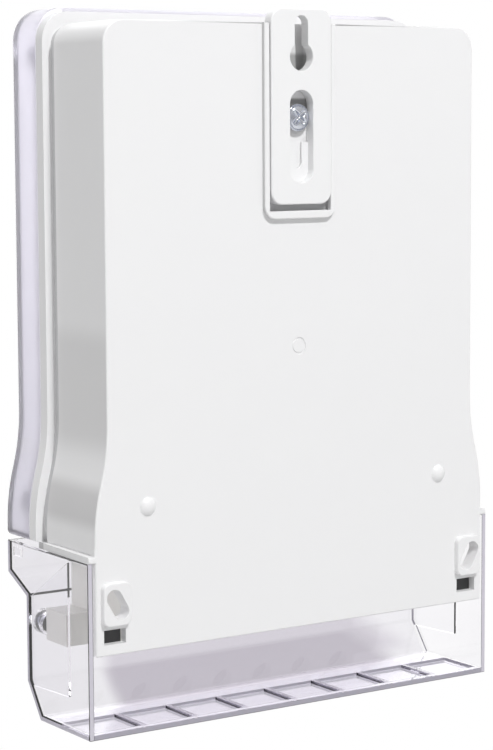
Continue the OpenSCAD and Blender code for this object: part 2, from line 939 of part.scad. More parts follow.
module terminal_screws() {
    tip = clamp_y - cable_d / 2 - 0.3;
    color("silver")
        placed()
            for (i = [0:terminal_n - 1], z = terminal_screw_zs)
                translate([terminal_x(i), 0, z])
                    difference() {
                        rod(0, 0, tip, tip + block_front - 1, terminal_screw_d / 2);
                        block([-3, -block_front - 1, -0.5], [3, -block_front + 2.2, 0.5]);
                    }
}

module auxiliary_terminals() {
    color("goldenrod")
        placed()
            for (i = [0:terminal_n - 2])
                translate([terminal_x(i) + terminal_pitch / 2, 0, block_top - 4])
                    difference() {
                        rod(0, 0, -block_front + 10, 8, 2.2);
                        rod(0, 0, -block_front + 9, 8, 1.25);
                    }
}

module auxiliary_screws() {
    color("silver")
        placed()
            for (i = [0:terminal_n - 2])
                translate([terminal_x(i) + terminal_pitch / 2, 0, block_top - 4]) {
                    rod(0, 0, -block_front + 8.5, 6.6, 1.2);
                    cross_head(-block_front + 2, 2, 1.4, 1);
                }
}

module terminal_block_screws() {
    color("silver")
        placed()
            block_screw_spots() {
                cross_head(-block_front, 3, 1.8, 1);
                rod(0, 0, -1.2, block_front - 1.2 + eps, 1.5);
            }
}

// Side profile of the terminal cover's outer face in Y and Z, from the bottom's rear edge
tcover_line = [
    [0, -tcover_drop],
    [-tcover_bottom_depth, -tcover_drop],
    [-tcover_front_depth, -tcover_drop + chamfer_z],
    [-tcover_front_depth, tstep_low_z],
    [y_tfront_top, tstep_z],
    [y_tfront_top, tcover_top_front]];

// Unit vector square to a step, on its right
function right_of(step) = [step[1], -step[0]] / norm(step);

// A line's inner corner i, moved in by w from both of its neighbouring edges
function inset_corner(line, i, w) =
    let (m = right_of(line[i] - line[i - 1]), n = right_of(line[i + 1] - line[i]))
    line[i] + (m + n) * w / (1 + m * n);

// Extrudes a profile in Y and Z along X, centred
module along_x(width, x = 0) {
    translate([x - width / 2, 0, 0])
        rotate([90, 0, 90])
            linear_extrude(width)
                children();
}

module terminal_cover() {
    inner = 2 * (tcover_half - tcover_t);
    pitch = inner / window_n;
    color([0.88, 0.86, 0.93, 0.4])
        placed()
            difference() {
                union() {
                    difference() {
                        intersection() {
                            along_x(2 * tcover_half)
                                polygon(concat(tcover_line, [[y_rim, tcover_top_rear],
                                                             [0, tcover_top_rear]]));
                            block([-tcover_half - 1, y_tfront_top - 1, -tcover_drop - 1],
                                  [tcover_half + 1, -tcover_back, tcover_top_rear + 1]);
                        }
                        along_x(inner)
                            polygon(concat([[1, -tcover_drop + tcover_t]],
                                           [for (i = [1:4]) inset_corner(tcover_line, i, tcover_t)],
                                           [[y_tfront_top + tcover_t, tcover_top_rear + 1],
                                            [1, tcover_top_rear + 1]]));
                    }
                    // raised pads inside the side walls
                    both_sides()
                        along_x(0.8, tcover_half - tcover_t - 0.4)
                            polygon([[-15.4, tcover_top_rear - 1.5], [-15.4, 12 - tcover_drop],
                                     [-tcover_front_depth + tcover_t, 11 - tcover_drop],
                                     [-tcover_front_depth + tcover_t, tstep_low_z]]);
                    // small catches at the top of the front
                    both_sides()
                        block([tcover_half - tcover_t - 0.8, y_tfront_top + 3, ledge_z - 7],
                              [tcover_half - tcover_t + eps, y_tfront_top + 8, ledge_z - 4]);
                    both_sides()
                        rod(tscrew_x, tscrew_z, -foot_front - fit,
                            tcover_front_depth - foot_front - fit, boss_r);
                }
                // knock-out windows between the ribs
                for (i = [0:window_n - 1])
                    translate([pitch * (i - (window_n - 1) / 2), 0, 0])
                        block([-pitch / 2 + rib_w / 2, -21, window_t - tcover_drop],
                              [pitch / 2 - rib_w / 2, -3, 5 - tcover_drop]);
                both_sides() {
                    rod(tscrew_x, tscrew_z, -foot_front, 20, pilot_r);
                    rod(tscrew_x, tscrew_z, -tcover_front_depth + seal_head_h + seal_recess, 20,
                        seal_head_r + fit);
                }
            }
}

module terminal_cover_screws() {
    under = -tcover_front_depth + seal_head_h + seal_recess;
    color("silver")
        placed()
            both_sides()
                translate([tscrew_x, 0, tscrew_z]) {
                    cross_head(under, seal_head_r, seal_head_h, 1);
                    rod(0, 0, -foot_rear - 4, -foot_rear - 4 - under + eps, seal_shank_r);
                }
}

base_housing();
hanger_slider();
hanger_screw();
hanger_nut();
cover_gasket();
main_cover();
main_cover_screws();
fascia_plate();
display_frame();
display_glass();
button_left();
button_right();
button_spring_left();
button_spring_right();
key_switches();
pulse_lamps();
optical_port_ring();
optical_lenses();
circuit_board();
board_screws();
current_transformers();
busbars();
supply_transformer();
capacitors();
surge_varistors();
processor_chips();
battery_holder();
backup_battery();
tamper_switch();
terminal_block();
terminal_clamps();
terminal_screws();
auxiliary_terminals();
auxiliary_screws();
terminal_block_screws();
terminal_cover();
terminal_cover_screws();
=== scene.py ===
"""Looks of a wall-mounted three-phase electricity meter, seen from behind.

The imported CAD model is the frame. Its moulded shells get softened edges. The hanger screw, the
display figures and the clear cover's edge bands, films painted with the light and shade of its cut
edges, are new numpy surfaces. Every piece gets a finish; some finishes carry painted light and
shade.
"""
import json

import bmesh
import bpy
import numpy as np
from mathutils import Matrix, Vector


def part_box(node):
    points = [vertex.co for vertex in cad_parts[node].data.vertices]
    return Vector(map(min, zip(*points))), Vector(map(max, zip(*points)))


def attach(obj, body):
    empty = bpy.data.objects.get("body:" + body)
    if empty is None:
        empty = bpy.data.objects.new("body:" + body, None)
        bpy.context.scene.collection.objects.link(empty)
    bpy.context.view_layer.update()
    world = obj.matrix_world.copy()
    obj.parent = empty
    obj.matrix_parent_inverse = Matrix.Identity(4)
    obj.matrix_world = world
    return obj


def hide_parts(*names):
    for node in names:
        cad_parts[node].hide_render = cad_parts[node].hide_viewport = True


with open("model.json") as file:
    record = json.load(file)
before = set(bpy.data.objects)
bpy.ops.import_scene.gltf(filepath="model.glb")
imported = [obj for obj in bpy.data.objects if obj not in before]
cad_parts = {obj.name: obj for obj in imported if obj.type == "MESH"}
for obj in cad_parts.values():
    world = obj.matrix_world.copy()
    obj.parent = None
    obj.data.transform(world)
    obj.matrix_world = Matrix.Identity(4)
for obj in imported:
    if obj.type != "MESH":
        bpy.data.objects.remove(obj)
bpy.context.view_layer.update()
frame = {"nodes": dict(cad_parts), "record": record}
NODES = frame["nodes"]
MM = 0.001
BODY_OF = {node: body for body, nodes in frame["record"]["behaviour"]["bodies"].items()
           for node in nodes}
SLOT_OF = {part["node"]: part["material_slot"] for part in frame["record"]["subparts"]}

# heights of the moulded faces along Y, in mm, from the wall forwards
LUG_REAR = 0.0
RIM_REAR = -0.5
PLATE_REAR = -2.3
LOWER_COVER_REAR = -2.8
PLATE_FRONT = -5.3
FLANGE_REAR = -38.6
FLANGE_FRONT = -43.1
LOWER_COVER_FRONT = -45.4
STEP_FRONT = -58.5
COVER_FRONT = -59.3

# sizes of the clear lower cover, in mm
SIDE_FACE = 84.9
SIDE_WALL = 1.8
SIDE_TOP = 14.3
FLOOR = -45.5
WINDOWS = 8
WINDOW_PITCH = 20.775
WINDOW_FRONT = -23.3
WINDOW_TOP = -43.7
WINDOW_SKIN = 0.8
RIB = 2.0

# the two fixing lugs lie this far from the middle, in mm
LUG_X = 75.0


# ---------------------------------------------------------------- camera, light and ground
def add_camera():
    """A long lens behind the meter, a little above its middle, turned towards its left-hand side."""
    yaw = np.radians(146.0738)
    rise = np.radians(6.1575)
    roll = np.radians(-0.3016)
    back = Vector((np.sin(yaw) * np.cos(rise), -np.cos(yaw) * np.cos(rise), np.sin(rise)))
    right = (-back).cross(Vector((0, 0, 1))).normalized()
    up = right.cross(-back)
    right, up = (np.cos(roll) * right + np.sin(roll) * up,
                 -np.sin(roll) * right + np.cos(roll) * up)
    data = bpy.data.cameras.new("camera")
    data.lens = 108.58
    data.sensor_width = 36
    data.shift_y = -0.0023
    data.clip_start = 0.01
    camera = bpy.data.objects.new("camera", data)
    turn = Matrix((right, up, back)).transposed().to_4x4()
    camera.matrix_world = Matrix.Translation((0.4501, 0.6344, 0.1562)) @ turn
    bpy.context.scene.collection.objects.link(camera)
    bpy.context.scene.camera = camera


def add_area(name, at, aim, size, power, colour=(1, 1, 1)):
    """A rectangular lamp at a point, facing another."""
    data = bpy.data.lights.new(name, "AREA")
    data.shape = "RECTANGLE"
    data.size, data.size_y = size
    data.energy = power
    data.color = colour
    lamp = bpy.data.objects.new(name, data)
    lamp.location = at
    lamp.rotation_euler = (Vector(aim) - Vector(at)).to_track_quat("-Z", "Y").to_euler()
    bpy.context.scene.collection.objects.link(lamp)
    return lamp


def add_world(low, high):
    """White behind everything; a softer surround, brighter overhead, for light and reflections."""
    world = bpy.data.worlds.new("surround")
    world.use_nodes = True
    tree = world.node_tree
    back = tree.nodes["Background"]
    back.inputs["Color"].default_value = (1, 1, 1, 1)
    where = tree.nodes.new("ShaderNodeTexCoord")
    split = tree.nodes.new("ShaderNodeSeparateXYZ")
    ramp = tree.nodes.new("ShaderNodeMapRange")
    ramp.inputs["From Min"].default_value = -0.5
    ramp.inputs["From Max"].default_value = 1
    ramp.inputs["To Min"].default_value = low
    ramp.inputs["To Max"].default_value = high
    path = tree.nodes.new("ShaderNodeLightPath")
    seen = tree.nodes.new("ShaderNodeMath")
    seen.operation = "MAXIMUM"
    pick = tree.nodes.new("ShaderNodeMix")
    pick.inputs["B"].default_value = 1
    tree.links.new(where.outputs["Generated"], split.inputs[0])
    tree.links.new(split.outputs["Z"], ramp.inputs["Value"])
    tree.links.new(path.outputs["Is Camera Ray"], seen.inputs[0])
    tree.links.new(path.outputs["Is Transmission Ray"], seen.inputs[1])
    tree.links.new(seen.outputs[0], pick.inputs["Factor"])
    tree.links.new(ramp.outputs["Result"], pick.inputs["A"])
    tree.links.new(pick.outputs["Result"], back.inputs["Strength"])
    bpy.context.scene.world = world


def add_floor(level):
    """A wide white ground, as bright as the surround where it is seen."""
    mesh = bpy.data.meshes.new("floor")
    r = 6
    mesh.from_pydata([(-r, -r, level), (r, -r, level), (r, r, level), (-r, r, level)], [],
                     [(0, 1, 2, 3)])
    floor = bpy.data.objects.new("floor", mesh)
    bpy.context.scene.collection.objects.link(floor)
    mat = bpy.data.materials.new("pale_floor")
    mat.use_nodes = True
    tree = mat.node_tree
    shader = tree.nodes["Principled BSDF"]
    shader.inputs["Base Color"].default_value = (0.8, 0.8, 0.8, 1)
    shader.inputs["Roughness"].default_value = 0.8
    glow = tree.nodes.new("ShaderNodeEmission")
    path = tree.nodes.new("ShaderNodeLightPath")
    seen = tree.nodes.new("ShaderNodeMath")
    seen.operation = "MAXIMUM"
    mix = tree.nodes.new("ShaderNodeMixShader")
    tree.links.new(path.outputs["Is Camera Ray"], seen.inputs[0])
    tree.links.new(path.outputs["Is Transmission Ray"], seen.inputs[1])
    tree.links.new(seen.outputs[0], mix.inputs[0])
    tree.links.new(shader.outputs[0], mix.inputs[1])
    tree.links.new(glow.outputs[0], mix.inputs[2])
    tree.links.new(mix.outputs[0], tree.nodes["Material Output"].inputs["Surface"])
    mesh.materials.append(mat)


add_camera()
add_world(0.3, 0.64)
add_floor(-0.6)
MIDDLE = (0, -0.03, 0.08)
add_area("key", (0.08, 1.25, 1.5), MIDDLE, (0.12, 0.12), 23.5)
add_area("side_fill", (1.6, -0.2, 0.5), MIDDLE, (0.9, 0.9), 3)
add_area("front_fill", (-0.7, -1.6, 0.7), MIDDLE, (1.8, 1.8), 12)
bpy.context.scene.view_settings.view_transform = "Standard"


# ---------------------------------------------------------------- shader groups
def new_group(name, inputs, outputs):
    """A shader group with named float, colour or vector sockets, and its two end nodes."""
    tree = bpy.data.node_groups.new(name, "ShaderNodeTree")
    for label, kind, value in inputs:
        socket = tree.interface.new_socket(label, in_out="INPUT", socket_type="NodeSocket" + kind)
        if value is not None:
            socket.default_value = value
    for label, kind in outputs:
        tree.interface.new_socket(label, in_out="OUTPUT", socket_type="NodeSocket" + kind)
    return tree, tree.nodes.new("NodeGroupInput"), tree.nodes.new("NodeGroupOutput")


def noise(tree, scale, detail, vector):
    """A noise texture on a vector; scale is a number or a socket."""
    node = tree.nodes.new("ShaderNodeTexNoise")
    node.inputs["Detail"].default_value = detail
    if isinstance(scale, (int, float)):
        node.inputs["Scale"].default_value = scale
    else:
        tree.links.new(scale, node.inputs["Scale"])
    tree.links.new(vector, node.inputs["Vector"])
    return node.outputs["Fac"]


def maths(tree, operation, a, b):
    """One maths node on two numbers or sockets."""
    node = tree.nodes.new("ShaderNodeMath")
    node.operation = operation
    for socket, value in zip(node.inputs, (a, b)):
        if isinstance(value, (int, float)):
            socket.default_value = value
        else:
            tree.links.new(value, socket)
    return node.outputs[0]


def mapped(tree, value, low, high):
    """A 0 to 1 value stretched between two numbers or sockets."""
    node = tree.nodes.new("ShaderNodeMapRange")
    tree.links.new(value, node.inputs["Value"])
    for label, end in (("To Min", low), ("To Max", high)):
        if isinstance(end, (int, float)):
            node.inputs[label].default_value = end
        else:
            tree.links.new(end, node.inputs[label])
    return node.outputs["Result"]


def blended(tree, factor, a, b):
    """Two colours mixed by a factor."""
    node = tree.nodes.new("ShaderNodeMix")
    node.data_type = "RGBA"
    tree.links.new(factor, node.inputs["Factor"])
    for label, colour in (("A", a), ("B", b)):
        socket = [s for s in node.inputs if s.name == label and s.type == "RGBA"][0]
        if isinstance(colour, tuple):
            socket.default_value = (*colour, 1)
        else:
            tree.links.new(colour, socket)
    return [s for s in node.outputs if s.type == "RGBA"][0]


def within(tree, value, low, high, soft):
    """A mask that is 1 between two numbers and falls to 0 over a soft margin outside them."""
    masks = []
    for start, end in ((low - soft, low), (high + soft, high)):
        node = tree.nodes.new("ShaderNodeMapRange")
        node.interpolation_type = "SMOOTHSTEP"
        node.inputs["From Min"].default_value = start
        node.inputs["From Max"].default_value = end
        tree.links.new(value, node.inputs["Value"])
        masks.append(node.outputs["Result"])
    return maths(tree, "MULTIPLY", *masks)


def zoned(tree, place, colour, zones):
    """A colour with other colours laid over it in zones, the later over the earlier.

    A zone is (limits, colour), and each limit is a direction with the low end, high end and soft
    margin in mm along it.
    """
    for limits, tint in zones:
        mask = None
        for normal, low, high, soft in limits:
            along = tree.nodes.new("ShaderNodeVectorMath")
            along.operation = "DOT_PRODUCT"
            along.inputs[1].default_value = normal
            tree.links.new(place, along.inputs[0])
            part = within(tree, along.outputs["Value"], low * MM, high * MM, soft * MM)
            mask = part if mask is None else maths(tree, "MULTIPLY", mask, part)
        colour = blended(tree, mask, colour, tint)
    return colour


def moulded_group(name, zones=()):
    """Moulded plastic: fine spark-eroded grain, slow flow tint, uneven gloss and zones of painted
    shade.
    """
    tree, given, out = new_group(
        name,
        [("Colour", "Color", (0.8, 0.8, 0.8, 1)), ("Tint", "Color", (0.75, 0.75, 0.78, 1)),
         ("Grain", "Float", 3000.0), ("Gloss low", "Float", 0.3), ("Gloss high", "Float", 0.4)],
        [("Colour", "Color"), ("Roughness", "Float"), ("Height", "Float")])
    place = tree.nodes.new("ShaderNodeTexCoord").outputs["Object"]
    grain = noise(tree, given.outputs["Grain"], 4, place)
    flow = noise(tree, 28.0, 3, place)
    patches = noise(tree, 140.0, 5, place)
    colour = blended(tree, mapped(tree, flow, 0.0, 1.0), given.outputs["Colour"],
                     given.outputs["Tint"])
    tree.links.new(zoned(tree, place, colour, zones), out.inputs["Colour"])
    tree.links.new(mapped(tree, patches, given.outputs["Gloss low"], given.outputs["Gloss high"]),
                   out.inputs["Roughness"])
    tree.links.new(grain, out.inputs["Height"])
    return tree


def plated_group():
    """Plated or machined metal: fine tool marks, a cloudy tint and small scuffs."""
    tree, given, out = new_group(
        "plated_metal",
        [("Colour", "Color", (0.8, 0.8, 0.8, 1)), ("Tint", "Color", (0.7, 0.7, 0.75, 1)),
         ("Stretch", "Vector", (1.0, 1.0, 12.0)), ("Gloss low", "Float", 0.12),
         ("Gloss high", "Float", 0.3)],
        [("Colour", "Color"), ("Roughness", "Float"), ("Height", "Float")])
    place = tree.nodes.new("ShaderNodeTexCoord").outputs["Object"]
    stretch = tree.nodes.new("ShaderNodeVectorMath")
    stretch.operation = "MULTIPLY"
    tree.links.new(place, stretch.inputs[0])
    tree.links.new(given.outputs["Stretch"], stretch.inputs[1])
    marks = noise(tree, 900.0, 5, stretch.outputs[0])
    clouds = noise(tree, 300.0, 3, place)
    tree.links.new(blended(tree, mapped(tree, clouds, 0.0, 1.0), given.outputs["Colour"],
                           given.outputs["Tint"]), out.inputs["Colour"])
    tree.links.new(mapped(tree, marks, given.outputs["Gloss low"], given.outputs["Gloss high"]),
                   out.inputs["Roughness"])
    tree.links.new(marks, out.inputs["Height"])
    return tree


def frosted_group(name, zones, frosted=True):
    """Clear moulding with a fine ripple and zones of painted light and shade, frosted behind its
    front pane if asked.
    """
    rough = [("Clear", "Float", 0.03), ("Frost", "Float", 0.4)] if frosted else []
    tree, given, out = new_group(
        name,
        [("Colour", "Color", (1, 1, 1, 1)), ("Front", "Float", -0.0575), *rough,
         ("Grain", "Float", 900.0)],
        [("Colour", "Color")] + [("Roughness", "Float")] * frosted + [("Height", "Float")])
    place = tree.nodes.new("ShaderNodeTexCoord").outputs["Object"]
    split = tree.nodes.new("ShaderNodeSeparateXYZ")
    tree.links.new(place, split.inputs[0])
    behind = maths(tree, "GREATER_THAN", split.outputs["Y"], given.outputs["Front"])
    tree.links.new(zoned(tree, place, given.outputs["Colour"], zones), out.inputs["Colour"])
    if frosted:
        tree.links.new(mapped(tree, behind, given.outputs["Clear"], given.outputs["Frost"]),
                       out.inputs["Roughness"])
    ripple = noise(tree, given.outputs["Grain"], 4, place)
    tree.links.new(maths(tree, "MULTIPLY", ripple, behind), out.inputs["Height"])
    return tree


def banded_group():
    """Tape turns, laminations or board tracks: thin bands across an axis, slightly uneven."""
    tree, given, out = new_group(
        "thin_bands",
        [("Colour", "Color", (0.3, 0.3, 0.3, 1)), ("Line", "Color", (0.2, 0.2, 0.2, 1)),
         ("Axis", "Vector", (0.0, 0.0, 1.0)), ("Bands", "Float", 900.0),
         ("Wander", "Float", 0.4)],
        [("Colour", "Color"), ("Height", "Float")])
    place = tree.nodes.new("ShaderNodeTexCoord").outputs["Object"]
    along = tree.nodes.new("ShaderNodeVectorMath")
    along.operation = "DOT_PRODUCT"
    tree.links.new(place, along.inputs[0])
    tree.links.new(given.outputs["Axis"], along.inputs[1])
    wander = maths(tree, "MULTIPLY", noise(tree, 220.0, 3, place), given.outputs["Wander"])
    phase = maths(tree, "ADD", maths(tree, "MULTIPLY", along.outputs["Value"],
                                     given.outputs["Bands"]), wander)
    wave = maths(tree, "PINGPONG", phase, 0.5)
    line = maths(tree, "LESS_THAN", wave, 0.09)
    tree.links.new(blended(tree, line, given.outputs["Colour"], given.outputs["Line"]),
                   out.inputs["Colour"])
    tree.links.new(maths(tree, "MULTIPLY", wave, 2.0), out.inputs["Height"])
    return tree


X_AXIS, Y_AXIS, Z_AXIS = (1.0, 0.0, 0.0), (0.0, 1.0, 0.0), (0.0, 0.0, 1.0)
ALL = 200.0
MOULDED = moulded_group("moulded_grain")
# the base's zones are painted shade: darker tints laid where grooves, hollows and rim sides lie in
# shade
BASE_PAINTED_SHADE = moulded_group("base_with_painted_shade", [
    # painted shade in the groove beside the flange, and painted darker reflection bands on the side
    # walls
    ([(Y_AXIS, -38.3, -35.2, 0.1)], (0.57, 0.57, 0.58)),
    ([(Y_AXIS, -34.9, -3.2, 0.3), (Z_AXIS, 28.5, 35.5, 6.0)], (0.66, 0.655, 0.66)),
    ([(Y_AXIS, -34.9, -3.2, 0.3), (Z_AXIS, 56.0, 84.0, 10.0)], (0.75, 0.747, 0.752)),
    # painted shade on the bottom of the guide under the slider, and in the hollows behind its
    # keyhole and its screw
    ([(Y_AXIS, -4.5, -2.6, 0.2), (X_AXIS, -13.4, 13.4, 0.1), (Z_AXIS, 126.0, 131.0, 0.3)],
     (0.6, 0.6, 0.61)),
    ([(Y_AXIS, -8.4, -4.5, 0.1), (X_AXIS, -6.2, 6.2, 0.1), (Z_AXIS, 172.0, 194.0, 0.5)],
     (0.78, 0.78, 0.78)),
    ([(Y_AXIS, -8.4, -4.5, 0.1), (X_AXIS, -6.2, 6.2, 0.1), (Z_AXIS, 172.0, 181.0, 2.0)],
     (0.4, 0.4, 0.4)),
    ([(Y_AXIS, -20.0, -4.1, 0.1), (X_AXIS, -6.2, 6.2, 0.1), (Z_AXIS, 160.0, 166.0, 1.2)],
     (0.3, 0.3, 0.3)),
    # painted shade on the outer sides of the guide's rim, which face away from the key light
    ([(Y_AXIS, -2.2, -0.95, 0.06), (X_AXIS, 14.2, 15.3, 0.1), (Z_AXIS, 122.0, ALL, 0.1)],
     (0.6, 0.6, 0.605)),
    ([(Y_AXIS, -2.2, -0.95, 0.06), (X_AXIS, -14.2, 14.2, 0.8), (Z_AXIS, 123.0, 127.8, 0.1)],
     (0.67, 0.67, 0.675)),
])
PLATED = plated_group()
FRONT_GLASS_PAINTED_SHADE = frosted_group("front_glass_with_painted_shade", [
    # painted shade along the front fillet, and a darker band from Z 10 to 18 mm through the cover's
    # depth
    ([(Y_AXIS, -58.4, -55.2, 0.6)], (0.66, 0.65, 0.705)),
    ([(Z_AXIS, 10.0, 18.0, 0.5), (Y_AXIS, -58.4, 0.0, 0.4)], (0.76, 0.745, 0.81)),
])
TERMINAL_PAINTED_LIGHT_AND_SHADE = frosted_group("terminal_glass_with_painted_light_and_shade", [
    # painted shade on the front wall, and darker painted shade on the sloping panel, below X 50 mm
    ([(Y_AXIS, -60.0, -40.0, 3.0), (X_AXIS, -ALL, 50.0, 8.0),
      ((0.61, 0.0, -0.79), -7.0, ALL, 12.0)], (0.68, 0.65, 0.71)),
    ([((0.0, -0.81, -0.59), 51.5, 70.0, 0.6), (Z_AXIS, -46.0, -33.6, 0.4),
      (X_AXIS, -ALL, 50.0, 8.0),
      ((0.61, 0.0, -0.79), -1.0, ALL, 9.0)], (0.57, 0.54, 0.6)),
    # painted shade on the floor's thin windows, and darker painted shade on the ribs between them
    ([(Z_AXIS, -46.0, -43.4, 0.2), (Y_AXIS, -30.0, -2.0, 0.2)], (0.66, 0.645, 0.71)),
    *[([(Z_AXIS, -46.0, -43.4, 0.2), (Y_AXIS, -23.6, -5.2, 0.1),
        (X_AXIS, WINDOW_PITCH * k - RIB / 2, WINDOW_PITCH * k + RIB / 2, 0.2)], (0.3, 0.285, 0.34))
      for k in range(1 - WINDOWS // 2, WINDOWS // 2)],
    # painted light: the side walls tinted lighter
    *[([(X_AXIS, *ends, 0.2)], (0.985, 0.98, 0.99)) for ends in ((-90.0, -82.4), (82.4, 90.0))],
], frosted=False)
BANDED = banded_group()


# ---------------------------------------------------------------- materials
def base_material(name, group, values, plain, bump):
    """A Principled material fed by a group; bump is (strength, distance in mm)."""
    mat = bpy.data.materials.new(name)
    mat.use_nodes = True
    tree = mat.node_tree
    shader = tree.nodes["Principled BSDF"]
    for key, value in plain.items():
        shader.inputs[key].default_value = value
    node = tree.nodes.new("ShaderNodeGroup")
    node.node_tree = group
    for key, value in values.items():
        node.inputs[key].default_value = (*value, 1) if key in ("Colour", "Tint", "Line") else value
    for source, target in (("Colour", "Base Color"), ("Roughness", "Roughness")):
        if source in node.outputs:
            tree.links.new(node.outputs[source], shader.inputs[target])
    relief = tree.nodes.new("ShaderNodeBump")
    relief.inputs["Strength"].default_value = bump[0]
    relief.inputs["Distance"].default_value = bump[1] * MM
    tree.links.new(node.outputs["Height"], relief.inputs["Height"])
    tree.links.new(relief.outputs["Normal"], shader.inputs["Normal"])
    return mat, tree, shader


def plastic(name, colour, tint=None, gloss=(0.3, 0.42), grain=2600.0, bump=(0.12, 0.04),
            group=MOULDED, **plain):
    """Moulded plastic."""
    tint = tint or tuple(0.94 * c for c in colour)
    keys = {key.replace("_", " "): value for key, value in plain.items()}
    return base_material(name, group, {"Colour": colour, "Tint": tint, "Grain": grain,
                                       "Gloss low": gloss[0], "Gloss high": gloss[1]},
                         keys, bump)[0]


def metal(name, colour, tint, gloss=(0.12, 0.3), stretch=(1.0, 1.0, 12.0), bump=(0.15, 0.02)):
    """Plated or machined metal."""
    return base_material(name, PLATED, {"Colour": colour, "Tint": tint, "Stretch": stretch,
                                        "Gloss low": gloss[0], "Gloss high": gloss[1]},
                         {"Metallic": 1.0}, bump)[0]


def banded(name, colour, line, axis, bands, wander=0.4, bump=(0.3, 0.08), **plain):
    """Laminated, taped or tracked surface."""
    keys = {key.replace("_", " "): value for key, value in plain.items()}
    return base_material(name, BANDED, {"Colour": colour, "Line": line, "Axis": axis,
                                        "Bands": bands, "Wander": wander}, keys, bump)[0]


def clear_moulding(name, group, colour, tint, density, frost, front):
    """Clear plastic with a tint that deepens along the wall; lets light through its shadows."""
    given, plain = {"Colour": colour, "Front": front}, {"Transmission Weight": 1.0, "IOR": 1.5}
    if "Frost" in group.interface.items_tree:
        given.update({"Clear": 0.02, "Frost": frost})
    else:
        plain["Roughness"] = frost
    mat, tree, shader = base_material(name, group, given, plain, (0.08, 0.05))
    volume = tree.nodes.new("ShaderNodeVolumeAbsorption")
    volume.inputs["Color"].default_value = (*tint, 1)
    volume.inputs["Density"].default_value = density
    path = tree.nodes.new("ShaderNodeLightPath")
    veil = tree.nodes.new("ShaderNodeBsdfTransparent")
    veil.inputs["Color"].default_value = (0.93, 0.92, 0.95, 1)
    mix = tree.nodes.new("ShaderNodeMixShader")
    output = tree.nodes["Material Output"]
    tree.links.new(path.outputs["Is Shadow Ray"], mix.inputs[0])
    tree.links.new(shader.outputs[0], mix.inputs[1])
    tree.links.new(veil.outputs[0], mix.inputs[2])
    tree.links.new(mix.outputs[0], output.inputs["Surface"])
    tree.links.new(volume.outputs[0], output.inputs["Volume"])
    return mat


WHITE = (0.86, 0.86, 0.865)
FINISH = {
    # base_white takes the painted shade zones of its group
    "base_white": plastic("base_white", WHITE, (0.85, 0.848, 0.856), (0.28, 0.36),
                          group=BASE_PAINTED_SHADE),
    "hanger_white": plastic("hanger_white", (0.865, 0.865, 0.868), (0.855, 0.855, 0.862),
                            (0.3, 0.38)),
    "zinc_screw": metal("zinc_screw", (0.9, 0.92, 0.96), (0.6, 0.63, 0.73), (0.06, 0.16)),
    "brass": metal("brass", (0.76, 0.57, 0.27), (0.66, 0.47, 0.2), (0.18, 0.34)),
    "gasket_grey": plastic("gasket_grey", (0.13, 0.13, 0.135), None, (0.6, 0.75), 1500.0,
                           (0.3, 0.08)),
    # the clear cover's group paints shade along its front fillet
    "clear_cover": clear_moulding("clear_cover", FRONT_GLASS_PAINTED_SHADE, (0.86, 0.848, 0.895),
                                  (0.8, 0.78, 0.85), 25.0, 0.42, -0.0585),
    "fascia_white": plastic("fascia_white", (0.78, 0.78, 0.775), None, (0.45, 0.6)),
    "frame_white": plastic("frame_white", (0.7, 0.7, 0.69), None, (0.5, 0.6)),
    "display_glass": plastic("display_glass", (0.36, 0.43, 0.3), (0.33, 0.41, 0.29),
                             (0.05, 0.09), 200.0, (0.02, 0.02), Coat_Weight=0.6),
    "button_yellow": plastic("button_yellow", (0.82, 0.52, 0.05), (0.8, 0.48, 0.04),
                             (0.25, 0.35), Subsurface_Weight=0.05),
    "spring_steel": metal("spring_steel", (0.6, 0.6, 0.62), (0.5, 0.5, 0.53), (0.2, 0.34)),
    "part_black": plastic("part_black", (0.025, 0.025, 0.027), None, (0.4, 0.55)),
    "lamp_red": plastic("lamp_red", (0.62, 0.03, 0.02), None, (0.06, 0.12), 500.0, (0.02, 0.02),
                        Coat_Weight=0.5),
    "port_steel": metal("port_steel", (0.6, 0.61, 0.63), (0.52, 0.53, 0.56), (0.2, 0.36),
                        (12.0, 1.0, 12.0)),
    "lens_dark": plastic("lens_dark", (0.06, 0.005, 0.008), None, (0.04, 0.08), 300.0,
                         (0.02, 0.02), Coat_Weight=0.8),
    "board_green": banded("board_green", (0.015, 0.12, 0.045), (0.05, 0.24, 0.09),
                          (0.83, 0.0, 0.56), 420.0, 2.2, (0.12, 0.03), Roughness=0.3,
                          Coat_Weight=0.4),
    "coil_blue": banded("coil_blue", (0.03, 0.07, 0.28), (0.02, 0.05, 0.2), (0.5, 0.0, 0.86),
                        320.0, 0.8, (0.3, 0.2), Roughness=0.35),
    "copper": metal("copper", (0.75, 0.37, 0.22), (0.62, 0.29, 0.17), (0.22, 0.4)),
    "core_grey": banded("core_grey", (0.16, 0.16, 0.165), (0.08, 0.08, 0.085), (1.0, 0.0, 0.0),
                        1400.0, 0.3, (0.4, 0.05), Roughness=0.45, Metallic=0.6),
    "varistor_blue": plastic("varistor_blue", (0.03, 0.09, 0.42), None, (0.18, 0.3), 700.0,
                             (0.2, 0.1)),
    "chip_grey": plastic("chip_grey", (0.035, 0.035, 0.038), None, (0.5, 0.65)),
    "battery_green": plastic("battery_green", (0.03, 0.22, 0.1), None, (0.2, 0.3), 900.0,
                             (0.05, 0.04)),
    "block_white": plastic("block_white", (0.83, 0.82, 0.79), (0.8, 0.79, 0.76), (0.4, 0.55)),
    # the terminal cover's group paints light and shade into zones of its clear tint
    "clear_terminal_cover": clear_moulding("clear_terminal_cover", TERMINAL_PAINTED_LIGHT_AND_SHADE,
                                           (0.88, 0.87, 0.9), (0.8, 0.78, 0.84), 22.0, 0.03,
                                           1.0),
}
FIGURES = plastic("display_figures", (0.012, 0.014, 0.012), None, (0.3, 0.4), 800.0)


